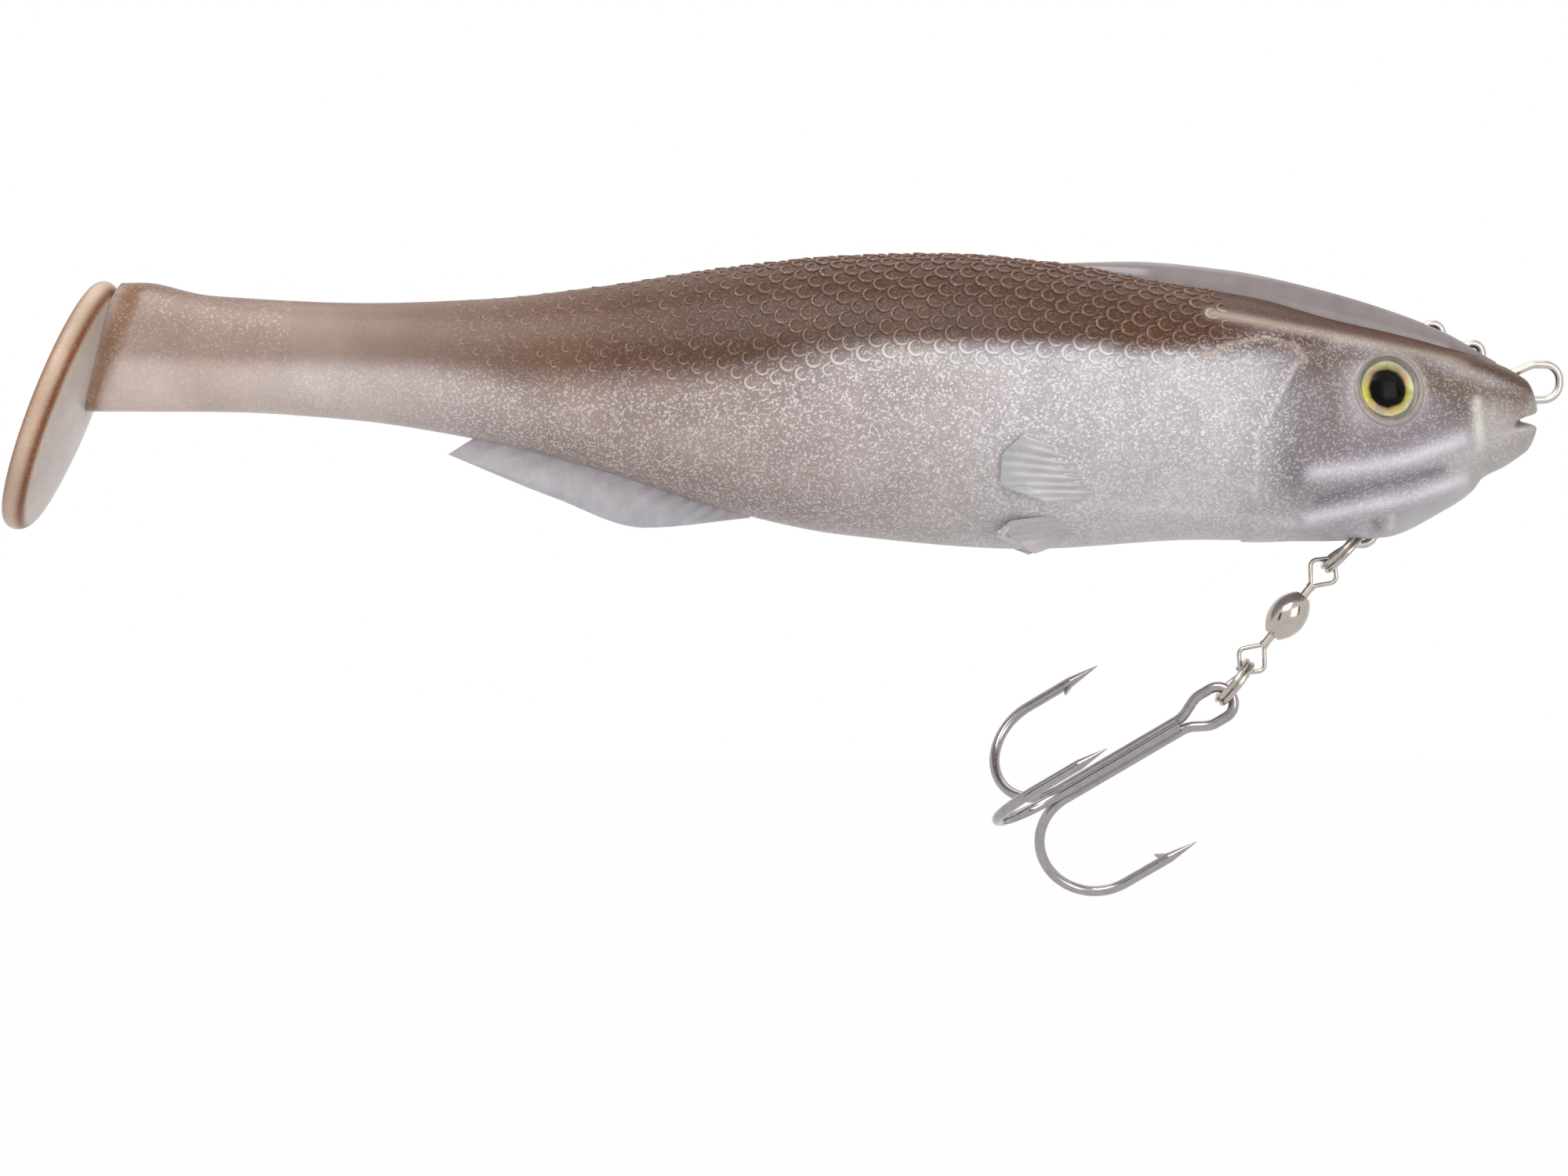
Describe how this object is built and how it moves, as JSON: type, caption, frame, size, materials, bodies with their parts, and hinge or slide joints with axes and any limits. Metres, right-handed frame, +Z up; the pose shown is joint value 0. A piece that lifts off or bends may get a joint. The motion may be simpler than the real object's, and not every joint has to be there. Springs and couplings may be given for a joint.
{
  "type": "swimbait",
  "caption": "Soft paddle-tail swimbait on a wire harness, with moulded fish scales and fins, domed eyes, and a treble hook hung from a barrel swivel and split rings.",
  "frame": {"origin": "centre of the hole in the line eye at the nose", "axes": "+X towards the nose along the body, +Z up towards the back, +Y towards the fish's left side; the line eye's hole runs along Y"},
  "size_m": [0.2065, 0.0332, 0.0857],
  "materials": {
    "soft_body": "satin",
    "soft_tail": "satin",
    "stainless_wire": "gloss",
    "cast_weight": "matte",
    "clear_lens": "gloss",
    "eye_foil": "gloss",
    "nickel_plate": "polished",
    "black_nickel": "polished",
    "braze_metal": "satin"
  },
  "bodies": {
    "root": {"torso": "soft_body", "harness_wire": "stainless_wire", "keel_weight": "cast_weight", "left_eye_lens": "clear_lens", "right_eye_lens": "clear_lens", "left_eye_foil": "eye_foil", "right_eye_foil": "eye_foil"},
    "stalk": {"tail_stalk": "soft_tail"},
    "paddle": {"tail_paddle": "soft_tail"},
    "upper_ring": {"upper_split_ring": "nickel_plate"},
    "swivel_top": {"swivel_upper_eye": "nickel_plate"},
    "barrel": {"swivel_barrel": "nickel_plate"},
    "swivel_bottom": {"swivel_lower_eye": "nickel_plate"},
    "lower_ring": {"lower_split_ring": "nickel_plate"},
    "treble": {"treble_double_hook": "black_nickel", "treble_single_hook": "black_nickel", "treble_braze": "braze_metal"}
  },
  "joints": [
    {"name": "stalk_bend", "type": "hinge", "parent": "root", "child": "stalk", "pos_m": [-0.146, 0, 0], "axis": [0, 0, 1], "range_deg": [-22, 22], "stiffness_Nm_per_rad": 0.02},
    {"name": "paddle_bend", "type": "hinge", "parent": "stalk", "child": "paddle", "pos_m": [-0.184, 0, 0], "axis": [0, 0, 1], "range_deg": [-30, 30], "stiffness_Nm_per_rad": 0.01},
    {"name": "upper_ring_swing", "type": "hinge", "parent": "root", "child": "upper_ring", "pos_m": [-0.0239, 0, -0.0197], "axis": [0, 1, 0], "range_deg": [-70, 10]},
    {"name": "swivel_sway", "type": "hinge", "parent": "upper_ring", "child": "swivel_top", "pos_m": [-0.02643, 0, -0.02237], "axis": [0.7254, 0, -0.6884], "range_deg": [-35, 35]},
    {"name": "barrel_spin", "type": "hinge", "parent": "swivel_top", "child": "barrel", "pos_m": [-0.03368, 0, -0.03092], "axis": [-0.6293, 0, -0.7771], "continuous": true},
    {"name": "lower_eye_spin", "type": "hinge", "parent": "barrel", "child": "swivel_bottom", "pos_m": [-0.03368, 0, -0.03092], "axis": [-0.6293, 0, -0.7771], "continuous": true},
    {"name": "lower_ring_swing", "type": "hinge", "parent": "swivel_bottom", "child": "lower_ring", "pos_m": [-0.03844, 0, -0.03679], "axis": [0, 1, 0], "range_deg": [-35, 15]},
    {"name": "treble_sway", "type": "hinge", "parent": "lower_ring", "child": "treble", "pos_m": [-0.04067, 0, -0.03971], "axis": [0.7944, 0, -0.6074], "range_deg": [-35, 35]}
  ]
}
